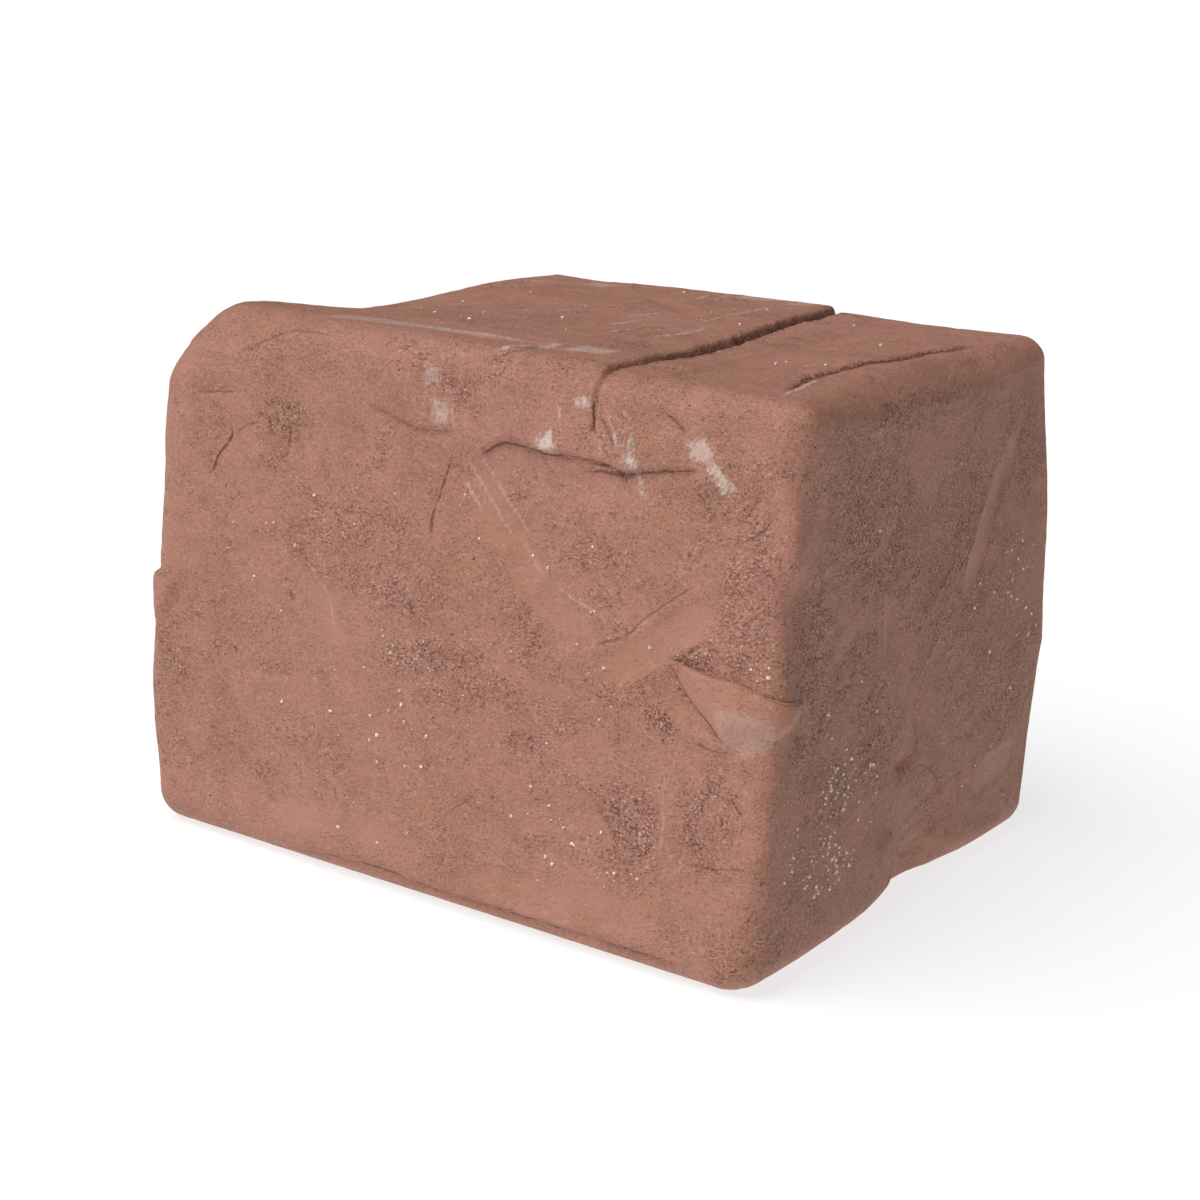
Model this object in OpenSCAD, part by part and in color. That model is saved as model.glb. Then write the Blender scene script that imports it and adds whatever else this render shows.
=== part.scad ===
// Block of moist pottery clay, turned out of its bag and standing on its flat underside.
// X runs along the wide front face, the front faces -Y, Z is up, and the origin is the
// middle of the footprint. Every surface point starts on a plain box, is rounded onto the
// edge radii, and is then moved by the leans, bellies, step, groove and foot notch.

/* [Overall size] */
// Width of the block along its front face
block_w = 206; // [160:1:280]
// Depth of the block from front to back
block_d = 186; // [150:1:260]
// Height of the block above the surface it rests on
block_h = 159; // [120:1:220]

/* [Edges] */
// Radius of the upright edges and the top edges
edge_r = 8; // [5:0.5:12]
// Radius of the edges around the underside
foot_r = 10; // [5:0.5:12]
// Height over which the foot radius turns into the edge radius
foot_rise = 45; // [20:1:80]
// Extra radius of the slumped corner at the top front left
slump_r = 21; // [0:1:26]
// Distance over which the slumped corner fades out
slump_reach = 54; // [30:1:70]

/* [Leans] */
// Shift of the top front left corner in X, Y and Z
top_front_left = [-8, -3.5, 0.5]; // [-12:0.5:12]
// Shift of the top front right corner in X, Y and Z
top_front_right = [5, 3, -3]; // [-12:0.5:12]
// Shift of the top back right corner in X, Y and Z
top_back_right = [-8, -7, 1]; // [-12:0.5:12]
// Shift of the top back left corner in X, Y and Z
top_back_left = [6, 3, -1]; // [-12:0.5:12]
// Shift of the foot's front left corner in X and Y
foot_front_left = [-4, -1, 0]; // [-12:0.5:12]
// Shift of the foot's front right corner in X and Y
foot_front_right = [-0.5, -1, 0]; // [-12:0.5:12]
// Shift of the foot's back right corner in X and Y
foot_back_right = [-1, -0.5, 0]; // [-12:0.5:12]
// Shift of the foot's back left corner in X and Y
foot_back_left = [1, 1, 0]; // [-12:0.5:12]

/* [Bellies] */
// How far the left face draws in near the front
left_hollow = 2; // [0:0.5:5]
// How far the right face bulges near the back
right_belly = 4.5; // [0:0.5:8]
// How far the right face bulges low at the front
right_foot_belly = 3.5; // [0:0.5:6]
// How far the front face crowns
front_belly = 2; // [0:0.5:5]
// How far the back face crowns
back_belly = 3; // [0:0.5:5]
// How far the top edge sags on the left side
left_sag = 7.5; // [0:0.5:9]
// Half width over which a belly fades out
belly_reach = 48; // [30:1:70]

/* [Top step and groove] */
// Distance of the step from the right face
step_in = 62; // [45:1:80]
// How far the step runs askew from the front to the back
step_skew = -11; // [-16:1:16]
// How far the step bends aside by the time it reaches the back
step_bend = 15; // [0:1:18]
// Distance from the front face at which the step starts to bend
bend_from = 25; // [0:1:120]
// How much lower the top is on the right of the step
step_drop = 1.6; // [0:0.1:5]
// Width of the open groove at the foot of the step
groove_w = 3; // [1.5:0.1:6]
// Depth of the groove below the step
groove_depth = 4; // [1:0.1:8]
// Height below the top edge at which the groove runs out on the front face
groove_fade = 22; // [10:1:40]

/* [Foot notch] */
// Distance of the notch from the front face
notch_in = 105; // [80:1:130]
// Half length of the notch along the foot
notch_reach = 20; // [10:1:26]
// How far the notch lifts the foot of the right face
notch_lift = 9.5; // [0:0.5:12]
// Height at which the lift has died out
notch_top = 44; // [30:1:60]

/* [Lapped flap] */
// Length of the flap along the front face
flap_l = 30; // [20:1:50]
// Height of the flap at its right end
flap_h = 22; // [14:1:34]
// Thickness of the flap in its middle
flap_t = 2.4; // [1:0.1:4]
// Distance of the flap's right end from the right face
flap_in = 1; // [0:0.5:20]
// Height of the flap's pointed left end above the foot
flap_z = 88; // [60:1:110]
// How much the flap's upper edge falls towards the right
flap_fall = 4; // [0:0.5:8]

/* [Grit] */
// Diameter of the largest grit grain
grain_d = 1.3; // [0.8:0.1:2]
// Number of grains in the large cluster on the right face
cluster_grains = 24; // [4:1:40]
// Number of grains in each of the two small clusters
small_grains = 12; // [4:1:20]
// Number of grains scattered over the front face
front_grains = 24; // [4:1:60]

/* [Hidden] */

clay_colour = [0.55, 0.33, 0.25];
flap_colour = [0.62, 0.39, 0.31];
grit_colour = [0.86, 0.80, 0.70];

// Distance from the front face, or from the left edge, and height of each belly's middle
left_hollow_at = [14, 76];
left_sag_at = 87;
right_belly_at = [170, 78];
right_foot_belly_at = [30, 22];
front_belly_at = [93, 70];
back_belly_at = [103, 80];
// The same for the middle of each cluster of grains
low_cluster_at = [33, 44];
back_cluster_at = [166, 95];
front_cluster_at = [160, 30];
// Distance that scattered grains keep from the front face's edges
edge_gap = 19;
// How much the notch draws the foot in for each millimetre that it lifts
notch_draw = 0.5;

// Spacing wanted between grid lines on the flat parts
grid = 12;
// Fraction of the radius at which a grid line follows the rounding
bend = 0.45;
// Golden ratio step that scatters the grains evenly
golden = 0.618034;
// Diameter of the smallest grain, as a fraction of the largest
least_grain = 0.6;
// Rise of a grain's middle above the surface, as a fraction of its diameter
grain_rise = 0.25;

half_w = block_w / 2;
half_d = block_d / 2;
step_x = half_w - step_in;
notch_y = -half_d + notch_in;
slump_corner = [-half_w, -half_d, block_h];

function clamp(v, low, high) = min(high, max(low, v));
function mix(a, b, t) = a + (b - a) * t;
function smooth(t) = let (u = clamp(t, 0, 1)) u * u * (3 - 2 * u);
function bell(t) = exp(-t * t);
function inner(a, b) =
    let (n = max(1, round((b - a) / grid)))
    [for (i = [1:1:n - 1]) mix(a, b, i / n)];

// Radius of the rounding near a point of the plain box
function radius(p) =
    mix(foot_r, edge_r, smooth(p.z / foot_rise))
    + slump_r * bell(norm(p - slump_corner) / slump_reach);

// Nearest point of the core that the rounding is rolled around
function core(p, r) = [
    clamp(p.x, -half_w + r, half_w - r),
    clamp(p.y, -half_d + r, half_d - r),
    clamp(p.z, r, block_h - r)
];

function facing(p) =
    let (away = p - core(p, radius(p)))
    away / norm(away);

// Shift of a point, spread between the shifts of the eight corners
function lean(p) =
    let (a = p.x / block_w + 0.5, b = p.y / block_d + 0.5, c = p.z / block_h)
    let (foot = mix(mix(foot_front_left, foot_front_right, a), mix(foot_back_left, foot_back_right, a), b))
    let (top = mix(mix(top_front_left, top_front_right, a), mix(top_back_left, top_back_right, a), b))
    mix(foot, top, c);

// Bulge of one face: height times a bell around its middle
function belly(p, n, way, middle, height) =
    height * max(0, n * way) * bell(norm(p - middle) / belly_reach) * way;

// Points of the plain box, from a distance along a face and a height
function on_right(at) = [half_w, -half_d + at.x, at.y];
function on_left(at) = [-half_w, -half_d + at.x, at.y];
function on_front(at) = [-half_w + at.x, -half_d, at.y];
function on_back(at) = [-half_w + at.x, half_d, at.y];

function bellies(p, n) =
    belly(p, n, [1, 0, 0], on_right(right_belly_at), right_belly)
    + belly(p, n, [1, 0, 0], on_right(right_foot_belly_at), right_foot_belly)
    + belly(p, n, [0, -1, 0], on_front(front_belly_at), front_belly)
    + belly(p, n, [0, 1, 0], on_back(back_belly_at), back_belly)
    - belly(p, n, [-1, 0, 0], on_left(left_hollow_at), left_hollow)
    - belly(p, n, [0, 0, 1], on_left([left_sag_at, block_h]), left_sag);

// The step lowers the top on its right, and the groove opens at its foot
function top_cut(p, n) =
    let (across = abs(p.x - step_x) / groove_w)
    let (down = smooth(1 - (block_h - p.z) / groove_fade))
    let (groove = groove_depth * (1 - smooth(across)) * down * max(0, n.z, -n.y))
    let (drop = step_drop * smooth((p.x - step_x) / groove_w) * max(0, n.z))
    [0, 0, -drop] - groove * n;

// The foot of the right face lifts and draws in at the notch
function notch(p, n) =
    let (along = bell((p.y - notch_y) / notch_reach))
    let (low = smooth(1 - p.z / notch_top))
    let (side = smooth((p.x - half_w + foot_r) / foot_r))
    along * low * side * notch_lift * [-notch_draw, 0, 1];

// Points slide along X, most in the middle, so that the straight grid lines run askew and bend
function slid(p) =
    let (bent = pow(max(0, p.y + half_d - bend_from) / (block_d - bend_from), 2))
    let (shift = step_skew * p.y / block_d - step_bend * bent)
    p + [shift * (1 - pow(p.x / half_w, 2)), 0, 0];

function shaped(p) =
    let (s = slid(p), r = radius(s), q = core(s, r), n = (s - q) / norm(s - q))
    q + r * n + lean(s) + bellies(s, n) + top_cut(p, n) + notch(s, n);

// Grid lines along each edge of the box, with extra ones on the rounding and the groove
xs = [
    -half_w, -half_w + bend * edge_r, -half_w + edge_r,
    each inner(-half_w + edge_r, step_x - groove_w),
    step_x - groove_w, step_x, step_x + groove_w,
    each inner(step_x + groove_w, half_w - edge_r),
    half_w - edge_r, half_w - bend * edge_r, half_w
];
ys = [
    -half_d, -half_d + bend * edge_r, -half_d + edge_r,
    each inner(-half_d + edge_r, half_d - edge_r),
    half_d - edge_r, half_d - bend * edge_r, half_d
];
// Each ring around the block has an inset, used under the foot, and a height
rings = [
    [foot_r, 0], [bend * foot_r, 0], [0, 0], [0, bend * foot_r], [0, foot_r],
    for (z = inner(foot_r, block_h - edge_r)) [0, z],
    [0, block_h - edge_r], [0, block_h - bend * edge_r], [0, block_h]
];
nx = len(xs) - 1;
ny = len(ys) - 1;
ring_n = 2 * (nx + ny);
top_ring = len(rings) - 1;

outline = [
    for (i = [0:nx - 1]) [xs[i], ys[0]],
    for (j = [0:ny - 1]) [xs[nx], ys[j]],
    for (i = [nx:-1:1]) [xs[i], ys[ny]],
    for (j = [ny:-1:1]) [xs[0], ys[j]]
];
function ring_point(ring, p) = [
    p.x * (1 - ring[0] / half_w),
    p.y * (1 - ring[0] / half_d),
    ring[1]
];
loose_points = [
    for (ring = rings) for (p = outline) shaped(ring_point(ring, p)),
    for (j = [1:ny - 1]) for (i = [1:nx - 1]) shaped([xs[i], ys[j], block_h])
];
middle = [
    (min([for (p = loose_points) p.x]) + max([for (p = loose_points) p.x])) / 2,
    (min([for (p = loose_points) p.y]) + max([for (p = loose_points) p.y])) / 2,
    0
];
block_points = [for (p = loose_points) p - middle];

function ring_id(k, j) = k * ring_n + j % ring_n;
// Number of a point on the top, which is on the last ring or inside it
function top_id(i, j) =
    j == 0 ? ring_id(top_ring, i)
    : i == nx ? ring_id(top_ring, nx + j)
    : j == ny ? ring_id(top_ring, nx + ny + nx - i)
    : i == 0 ? ring_id(top_ring, ring_n - j)
    : len(rings) * ring_n + (j - 1) * (nx - 1) + i - 1;

block_faces = [
    [for (j = [0:ring_n - 1]) ring_id(0, j)],
    for (k = [0:top_ring - 1]) for (j = [0:ring_n - 1]) each [
        [ring_id(k, j), ring_id(k + 1, j), ring_id(k + 1, j + 1)],
        [ring_id(k, j), ring_id(k + 1, j + 1), ring_id(k, j + 1)]
    ],
    for (j = [0:ny - 1]) for (i = [0:nx - 1]) each [
        [top_id(i, j), top_id(i, j + 1), top_id(i + 1, j + 1)],
        [top_id(i, j), top_id(i + 1, j + 1), top_id(i + 1, j)]
    ]
];

module clay_block() {
    color(clay_colour)
        polyhedron(points = block_points, faces = block_faces);
}

// The flap is a leaf of clay on the front face, pointed at its left end
flap_nu = 12;
flap_nv = 8;
flap_right = half_w - flap_in;
// Thickness that is left along the flap's edges, and height that is left at its point
flap_edge_t = 0.6;
flap_tip_h = 2;
// Fraction of the flap over which it thickens from an edge
flap_taper = 0.25;
function flap_place(u, v) = [
    flap_right - flap_l * (1 - u),
    -half_d,
    flap_z - flap_fall * u - mix(flap_tip_h, flap_h, u) * (1 - v)
];
function flap_point(u, v, lift) =
    let (p = flap_place(u, v))
    let (inside = smooth(u / flap_taper) * smooth(v / flap_taper) * smooth((1 - v) / flap_taper))
    let (t = mix(flap_edge_t, flap_t, inside))
    shaped(p) - middle + facing(p) * lift * t;
flap_points = [
    for (lift = [0, 1]) for (i = [0:flap_nu]) for (j = [0:flap_nv])
        flap_point(i / flap_nu, j / flap_nv, lift)
];
function flap_id(lift, i, j) = (lift * (flap_nu + 1) + i) * (flap_nv + 1) + j;
flap_faces = [
    for (i = [0:flap_nu - 1]) for (j = [0:flap_nv - 1]) each [
        [flap_id(0, i, j), flap_id(0, i + 1, j), flap_id(0, i + 1, j + 1)],
        [flap_id(0, i, j), flap_id(0, i + 1, j + 1), flap_id(0, i, j + 1)],
        [flap_id(1, i, j), flap_id(1, i + 1, j + 1), flap_id(1, i + 1, j)],
        [flap_id(1, i, j), flap_id(1, i, j + 1), flap_id(1, i + 1, j + 1)]
    ],
    for (i = [0:flap_nu - 1]) each [
        [flap_id(0, i, 0), flap_id(1, i, 0), flap_id(1, i + 1, 0), flap_id(0, i + 1, 0)],
        [
            flap_id(0, i, flap_nv), flap_id(0, i + 1, flap_nv),
            flap_id(1, i + 1, flap_nv), flap_id(1, i, flap_nv)
        ]
    ],
    for (j = [0:flap_nv - 1]) each [
        [flap_id(0, 0, j), flap_id(0, 0, j + 1), flap_id(1, 0, j + 1), flap_id(1, 0, j)],
        [
            flap_id(0, flap_nu, j), flap_id(1, flap_nu, j),
            flap_id(1, flap_nu, j + 1), flap_id(0, flap_nu, j + 1)
        ]
    ]
];

module lapped_flap() {
    color(flap_colour)
        polyhedron(points = flap_points, faces = flap_faces);
}

// Grains lie scattered on the surface around a place on one face, at most reach away
module grains(place, reach, count) {
    for (i = [0:count - 1])
        let (turn = 360 * golden * i, out = sqrt((i + 0.5) / count))
        let (p = place + out * [reach.x * cos(turn), reach.y * cos(turn), reach.z * sin(turn)])
        let (d = grain_d * mix(least_grain, 1, (i * golden) % 1))
        translate(shaped(p) - middle + facing(p) * d * grain_rise)
            sphere(d = d, $fn = 16);
}

module grit_grains() {
    color(grit_colour) {
        grains(on_right(low_cluster_at), [0, 22, 22], cluster_grains);
        grains(on_right(back_cluster_at), [0, 13, 14], small_grains);
        grains(on_front(front_cluster_at), [14, 0, 9], small_grains);
        grains([0, -half_d, block_h / 2], [half_w - edge_gap, 0, block_h / 2 - edge_gap], front_grains);
    }
}

clay_block();
lapped_flap();
grit_grains();
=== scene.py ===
from functools import reduce
from itertools import combinations
from math import cos, pi, radians, sin

import bpy
import numpy as np
from mathutils import Matrix, Vector


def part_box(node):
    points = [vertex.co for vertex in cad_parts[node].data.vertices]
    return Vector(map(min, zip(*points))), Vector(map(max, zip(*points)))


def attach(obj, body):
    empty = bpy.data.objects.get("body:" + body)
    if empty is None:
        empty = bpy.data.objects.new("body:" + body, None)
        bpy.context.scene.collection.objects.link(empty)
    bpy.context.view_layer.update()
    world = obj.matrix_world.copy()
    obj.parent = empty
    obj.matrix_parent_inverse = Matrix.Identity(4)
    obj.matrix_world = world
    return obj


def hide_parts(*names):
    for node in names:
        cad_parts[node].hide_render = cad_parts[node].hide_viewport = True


# A block of moist pottery clay, just out of its bag. The lump, the lapped flap and the
# grit are worked out in millimetres on a plain box and then moved into the CAD block.
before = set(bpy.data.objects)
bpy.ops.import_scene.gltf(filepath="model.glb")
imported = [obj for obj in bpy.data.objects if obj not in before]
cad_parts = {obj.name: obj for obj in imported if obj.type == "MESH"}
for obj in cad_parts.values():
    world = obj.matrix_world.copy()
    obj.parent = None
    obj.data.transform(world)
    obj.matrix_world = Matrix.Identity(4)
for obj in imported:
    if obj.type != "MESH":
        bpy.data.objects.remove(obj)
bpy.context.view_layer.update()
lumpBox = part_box("clay_block")
print("CAD block loaded")

mm = 0.001


# numbers and noise

def smooth(t):
    # 0 below 0, 1 above 1, and 3tt - 2ttt between them
    t = np.clip(t, 0, 1)
    return t * t * (3 - 2 * t)


def bell(t):
    # 1 at 0, falling to nothing past 2 on both sides
    return np.exp(-t * t)


def blend(a, b, t):
    # a at 0, b at 1, straight between them
    return a + (b - a) * t


def fade(distance, start, length):
    # 0 up to the start, 1 a length further on
    return smooth((distance - start) / length)


def nextAround(rows):
    # each row's numbers moved on by one place, round a closed ring
    return np.roll(rows, -1, axis=-1)


lattice = 64  # corners along each side of the block of random heights
heights = np.random.default_rng(11).uniform(-1, 1, (lattice,) * 3)
seedStride = 7.31  # how far apart two seeds lie in the lattice


def noise(points, size, seed):
    # random heights on a cubic lattice of this size, blended smoothly between its eight corners
    cell = points / size + seed * seedStride
    low = np.floor(cell).astype(int)
    t = smooth(cell - low)
    total = np.zeros(len(points))
    for corner in np.ndindex(2, 2, 2):
        at = (low + corner) % lattice
        weight = np.prod(np.where(np.array(corner) == 1, t, 1 - t), axis=1)
        total += weight * heights[at[:, 0], at[:, 1], at[:, 2]]
    return total


def roughness(points, size, seed, octaves=3):
    # octaves of noise, each half as large and half as high as the one before
    total = np.zeros(len(points))
    for k in range(octaves):
        total += noise(points, size / 2 ** k, seed + k) / 2 ** k
    return total


# the block's form: the CAD block's, but for the step, the groove and the upright front right edge

block = dict(
    size=np.array([206.0, 186.0, 159.0]),  # width, depth and height
    edge=8.0,  # radius of the upright and top edges
    foot=10.0,  # radius around the underside
    footRise=45.0,  # height over which one turns into the other
    slump=21.0,  # extra radius of the slumped corner
    slumpReach=54.0,
    topShift=[[-8, -3.5, 0.5], [5, 3, -3], [6, 3, -1], [-8, -7, 1]],  # front left, right, back left, right
    footShift=[[-4, -1, 0], [-0.5, -1, 0], [1, 1, 0], [-1, -0.5, 0]],
    bulgeReach=48.0,
    skew=-11.0,  # how far the step runs askew
    bend=15.0,  # how far it bends aside by the time it reaches the back
    bendFrom=25.0,  # distance from the front face at which it starts to bend
    edgeReach=20.0,  # how far from an edge its own radius is felt
    softTop=6.0,  # extra radius along the right face's top edge
    softEnds=[(12, 40), (10, 50)],  # where it starts from the front and the back, and over what length
    crisp=3.4,  # how much tighter the upright edge between the front and right faces is
    crispEnds=[(12, 24), (8, 30)],  # the same from the foot and the top
)
groove = dict(
    at=39.7,  # the rim of the step over it
    wander=[(0.5, 5.0), (0.3, 1.8)],  # how far the rim strays, and over what distance
    drop=[1.0, 1.5],  # height of the step, at the front and past the middle
    dropReach=75.0,  # distance from the front face at which it is full
    wall=1.1,  # run of the step's wall
    depth=2.4,  # how deep the groove is under the step
    width=1.1,
    middle=1.3,  # distance from the rim to the groove's middle
    front=0.55,  # share of its width and depth at the front face
    frontReach=60.0,  # distance from the front face at which both are full
    runOut=22.0,  # how far down the front face it runs out
    rimSink=0.2,  # how far the rim is rubbed down
    rimWidth=0.9,
)
half = block["size"] / 2
middle = np.array([0, 0, half[2]])

# way that a bulge pushes, its middle on the box, and its height
bulges = [
    ((1, 0, 0), (half[0], 77, 78), 4.5),
    ((1, 0, 0), (half[0], -63, 22), 3.5),
    ((0, -1, 0), (-10, -half[1], 70), 2.0),
    ((0, 1, 0), (0, half[1], 80), 3.0),
    ((-1, 0, 0), (-half[0], -79, 76), -2.0),
    ((0, 0, 1), (-half[0], -6, 159), -7.5),
]
# the notch in the foot of the right face: its place along the face, length, lift and height
notch = dict(at=12.0, reach=20.0, lift=9.5, draw=0.5, top=44.0)


def spread(shifts, a, b):
    # shift of a point, spread between those of four corners
    frontLeft, frontRight, backLeft, backRight = (np.array(s, float) for s in shifts)
    return blend(blend(frontLeft, frontRight, a), blend(backLeft, backRight, a), b)


def slide(points):
    # points slide along X, most in the middle, so that the step runs askew and bends
    depth = block["size"][1]
    bent = (np.maximum(0, points[:, 1] + half[1] - block["bendFrom"]) / (depth - block["bendFrom"])) ** 2
    aside = block["skew"] * points[:, 1] / depth - block["bend"] * bent
    slid = points.copy()
    slid[:, 0] += aside * (1 - (points[:, 0] / half[0]) ** 2)
    return slid


def form(points):
    # a point of the plain box slides, is rolled onto its edge radius, and is then shifted
    # by the corners' leans, the bulges and the notch
    height = block["size"][2]
    slid = slide(points)
    x, y, z = slid.T
    corner = np.array([-half[0], -half[1], height])
    radius = blend(block["foot"], block["edge"], smooth(z / block["footRise"]))
    radius += block["slump"] * bell(np.linalg.norm(slid - corner, axis=1) / block["slumpReach"])
    nearRight, nearFront, nearTop = (
        bell(away / block["edgeReach"]) for away in (x - half[0], y + half[1], z - height))
    (front, frontRun), (back, backRun) = block["softEnds"]
    soft = nearRight * nearTop * fade(y + half[1], front, frontRun) * fade(half[1] - y, back, backRun)
    (foot, footRun), (top, topRun) = block["crispEnds"]
    crisp = nearRight * nearFront * fade(z, foot, footRun) * fade(height - z, top, topRun)
    radius += block["softTop"] * soft - block["crisp"] * crisp
    core = np.clip(slid - middle, radius[:, None] - half, half - radius[:, None]) + middle
    out = slid - core
    out /= np.linalg.norm(out, axis=1, keepdims=True)
    a, b, c = ((slid - middle) / block["size"] + 0.5).T[:, :, None]
    place = core + radius[:, None] * out
    place += blend(spread(block["footShift"], a, b), spread(block["topShift"], a, b), c)
    for way, at, rise in bulges:
        way = np.array(way, float)
        near = bell(np.linalg.norm(slid - at, axis=1) / block["bulgeReach"])
        place += (rise * np.maximum(0, out @ way) * near)[:, None] * way
    lift = notch["lift"] * bell((y - notch["at"]) / notch["reach"]) * smooth(1 - z / notch["top"])
    lift *= smooth((x - half[0] + block["foot"]) / block["foot"])
    place += lift[:, None] * np.array([-notch["draw"], 0, 1])
    return place, out


def step(points, out):
    # the top drops by the step right of its rim, and a narrow groove opens at the step's foot
    beyond = points[:, 0] - groove["at"]
    for k, (amount, size) in enumerate(groove["wander"]):
        beyond = beyond - amount * noise(points, size, 40 + k)
    fromFront = points[:, 1] + half[1]
    up = np.maximum(0, out[:, 2])
    down = smooth(1 - (block["size"][2] - points[:, 2]) / groove["runOut"])
    shown = np.maximum(up, np.abs(out[:, 1])) * down
    drop = blend(*groove["drop"], smooth(fromFront / groove["dropReach"]))
    drop *= smooth(beyond / groove["wall"]) * up
    share = blend(groove["front"], 1.0, smooth(fromFront / groove["frontReach"]))
    gap = groove["depth"] * share * bell((beyond - groove["middle"]) / (groove["width"] * share))
    rim = groove["rimSink"] * bell((beyond + 0.4) / groove["rimWidth"])
    return -drop, -(gap + rim) * shown


# marks pressed, torn and scratched into the surface

faces = dict(  # the way each face looks, and the ways that run across it and up it
    front=[(0, -1, 0), (1, 0, 0), (0, 0, 1)],
    right=[(1, 0, 0), (0, 1, 0), (0, 0, 1)],
    back=[(0, 1, 0), (-1, 0, 0), (0, 0, 1)],
    left=[(-1, 0, 0), (0, -1, 0), (0, 0, 1)],
    top=[(0, 0, 1), (1, 0, 0), (0, 1, 0)],
)
unrollTo = 70.0  # how far past a face's edges its rolled out sheet goes on
touch = 0.01  # closer than this a point lies on a face
unreached = 9.0  # an oval's distance for points that its sheet doesn't reach


def unroll(points, face):
    # where points lie on a face that is rolled out flat with its neighbours, and which ones do
    look, across, up = (np.array(way, float) for way in faces[face])
    local = points - middle
    behind = np.abs(look) @ half - local @ look
    at = np.stack([local @ across, local @ up], axis=1)
    reach = np.array([np.abs(across) @ half, np.abs(up) @ half])
    over = np.abs(at) > reach - touch
    at += np.sign(at) * behind[:, None] * over
    at[:, 1] += up @ middle
    return at, (behind < unrollTo) & ((behind < touch) | over.any(axis=1))


def onBox(face, at):
    # the plain box's points for places on a rolled out face, folded over its edges
    look, across, up = (np.array(way, float) for way in faces[face])
    at = np.array(at, float).reshape(-1, 2)
    at[:, 1] -= up @ middle
    reach = np.array([np.abs(across) @ half, np.abs(up) @ half])
    over = np.maximum(0, np.abs(at) - reach).sum(axis=1)
    inside = np.clip(at, -reach, reach)
    behind = (np.abs(look) @ half - over)[:, None]
    return middle + behind * look + inside[:, :1] * across + inside[:, 1:] * up


def curve(path, spacing=1.5):
    # a smooth line through the points: a cubic in each stretch, with slopes from its neighbours
    path = np.array(path, float)
    longer = np.vstack([2 * path[0] - path[1], path, 2 * path[-1] - path[-2]])
    pieces = []
    for before, start, end, after in zip(longer, longer[1:], longer[2:], longer[3:]):
        count = max(2, int(np.linalg.norm(end - start) / spacing) + 1)
        t = np.linspace(0, 1, count, endpoint=False)[:, None]
        slopes = (end - before) / 2, (after - start) / 2
        pieces.append(
            start * (2 * t ** 3 - 3 * t ** 2 + 1) + end * (3 * t ** 2 - 2 * t ** 3)
            + slopes[0] * (t ** 3 - 2 * t ** 2 + t) + slopes[1] * (t ** 3 - t ** 2))
    return np.vstack(pieces + [path[-1:]])


def follow(line, at):
    # signed distance to a line, positive on its left, and the share of its length passed
    start, run = line[:-1], np.diff(line, axis=0)
    fromStart = at[:, None] - start
    t = np.clip((fromStart * run).sum(axis=2) / (run * run).sum(axis=1), 0, 1)
    off = fromStart - t[:, :, None] * run
    gap = np.linalg.norm(off, axis=2)
    best = gap.argmin(axis=1)
    row = np.arange(len(at))
    side = run[best, 0] * off[row, best, 1] - run[best, 1] * off[row, best, 0]
    lengths = np.linalg.norm(run, axis=1)
    passed = np.concatenate([[0], np.cumsum(lengths)])
    share = (passed[best] + t[row, best] * lengths[best]) / passed[-1]
    return gap[row, best] * np.where(side < 0, -1, 1), share


def ends(share, length=0.15):
    # 1 along a mark and 0 at both of its ends, over this share of its length
    return smooth(share / length) * smooth((1 - share) / length)


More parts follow.
